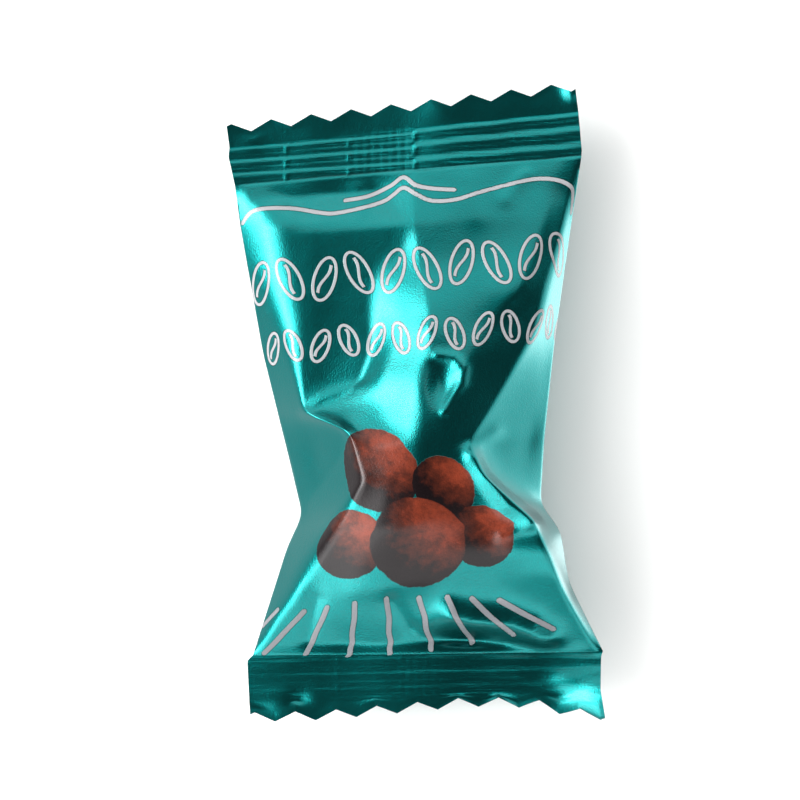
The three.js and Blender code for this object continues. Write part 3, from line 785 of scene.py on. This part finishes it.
# The table, in matt white paper: it takes the pack's soft shadow and has no shine. In metres.
table = {"size": 3.0, "colour": "#F8F8F7", "roughness": 0.8}
bpy.ops.object.select_all(action="DESELECT")
bpy.ops.mesh.primitive_plane_add(size=table["size"], location=(0, 0, 0))
floor = bpy.context.active_object
floor.name = "table"
paper = bpy.data.materials.new("matt_white_paper")
paper.use_nodes = True
paper.node_tree.nodes["Principled BSDF"].inputs["Base Color"].default_value = linear(table["colour"])
paper.node_tree.nodes["Principled BSDF"].inputs["Roughness"].default_value = table["roughness"]
floor.data.materials.append(paper)
floor.visible_glossy = False          # the film mirrors the even light below, not the table's shadows

# A wide lamp over it all, in metres and watts.
overhead = {"size": 1.6, "height": 0.9, "energy": 5.5}
bpy.ops.object.light_add(type="AREA", location=(0, 0, overhead["height"]))
lamp = bpy.context.active_object
lamp.name = "overhead"
lamp.data.shape = "DISK"
lamp.data.size = overhead["size"]
lamp.data.energy = overhead["energy"]
lamp.visible_glossy = False           # it lights the table and the ink, and isn't mirrored in the film

# What the film mirrors: soft panels of light round the pack. Compass angle from +X, half width, lowest and
# highest edge and soft border, in degrees.
studio = {
    "dim": 0.065,                     # the dark ceiling and camera over the pack
    "panels": [
        {"name": "window", "angle": 180, "half": 46, "low": 18, "high": 58, "soft": 9, "light": 3.2},
        {"name": "window core", "angle": 170, "half": 24, "low": 26, "high": 44, "soft": 9, "light": 12.0},
        {"name": "lower", "angle": 270, "half": 62, "low": 10, "high": 38, "soft": 7, "light": 1.85},
        {"name": "lower left", "angle": 237, "half": 14, "low": 14, "high": 48, "soft": 8, "light": 2.0},
        {"name": "upper", "angle": 95, "half": 50, "low": 14, "high": 55, "soft": 6, "light": 1.0},
        {"name": "upper low", "angle": 95, "half": 50, "low": 8, "high": 30, "soft": 7, "light": 0.8},
        {"name": "right", "angle": 0, "half": 60, "low": -45, "high": 14, "soft": 4, "light": 0.7},
        {"name": "right low", "angle": -7, "half": 18, "low": -70, "high": -30, "soft": 6, "light": 2.2},
        {"name": "below", "angle": 270, "half": 170, "low": -70, "high": 0, "soft": 8, "light": 0.85},
    ],
}
world = bpy.context.scene.world or bpy.data.worlds.new("studio")
bpy.context.scene.world = world
world.use_nodes = True
sky = world.node_tree
direction = addNode(sky, "ShaderNodeTexCoord", output="Generated")
rise = addNode(sky, "ShaderNodeSeparateXYZ", direction, output="Z")
level = addNode(sky, vectorMaths, direction, (1, 1, 0), operation="MULTIPLY")
compass = addNode(sky, vectorMaths, level, operation="NORMALIZE")
light = studio["dim"]
for panel in studio["panels"]:
    angle, half, soft = (math.radians(panel[key]) for key in ("angle", "half", "soft"))
    low, high = math.radians(panel["low"]), math.radians(panel["high"])
    facing = addNode(sky, vectorMaths, compass, (math.cos(angle), math.sin(angle), 0),
                     operation="DOT_PRODUCT", output="Value")
    wide = addNode(sky, mapper, facing, math.cos(half + soft), math.cos(half - soft), **softly)
    above = addNode(sky, mapper, rise, math.sin(low - soft), math.sin(low + soft), **softly)
    below = addNode(sky, mapper, rise, math.sin(high + soft), math.sin(high - soft), **softly)
    shown = addNode(sky, maths, wide, above, operation="MULTIPLY")
    shown = addNode(sky, maths, shown, below, operation="MULTIPLY")
    light = addNode(sky, maths, shown, panel["light"], light, operation="MULTIPLY_ADD")
sky.links.new(light, sky.nodes["Background"].inputs["Strength"])
sky.nodes["Background"].inputs["Color"].default_value = linear("#FFFFFF")
bpy.context.scene.view_settings.view_transform = "Standard"

# The camera, straight above the pack. In metres, but for the sensor.
view = {
    "at": (-0.00165, 0.00031),
    "height": 0.6,
    "middle": 0.008,                  # the pack's middle height,
    "width": 0.084,                   # where the frame is this wide
    "sensor": 36,
    "farthest": 10,
}
camera = bpy.data.objects.new("camera", bpy.data.cameras.new("camera"))
bpy.context.scene.collection.objects.link(camera)
camera.data.sensor_width = view["sensor"]
camera.data.lens = view["sensor"] * (view["height"] - view["middle"]) / view["width"]
camera.data.clip_end = view["farthest"]
camera.location = (*view["at"], view["height"])
bpy.context.scene.camera = camera
print("studio:", len(studio["panels"]), "panels of light, a table, a lamp and a camera")
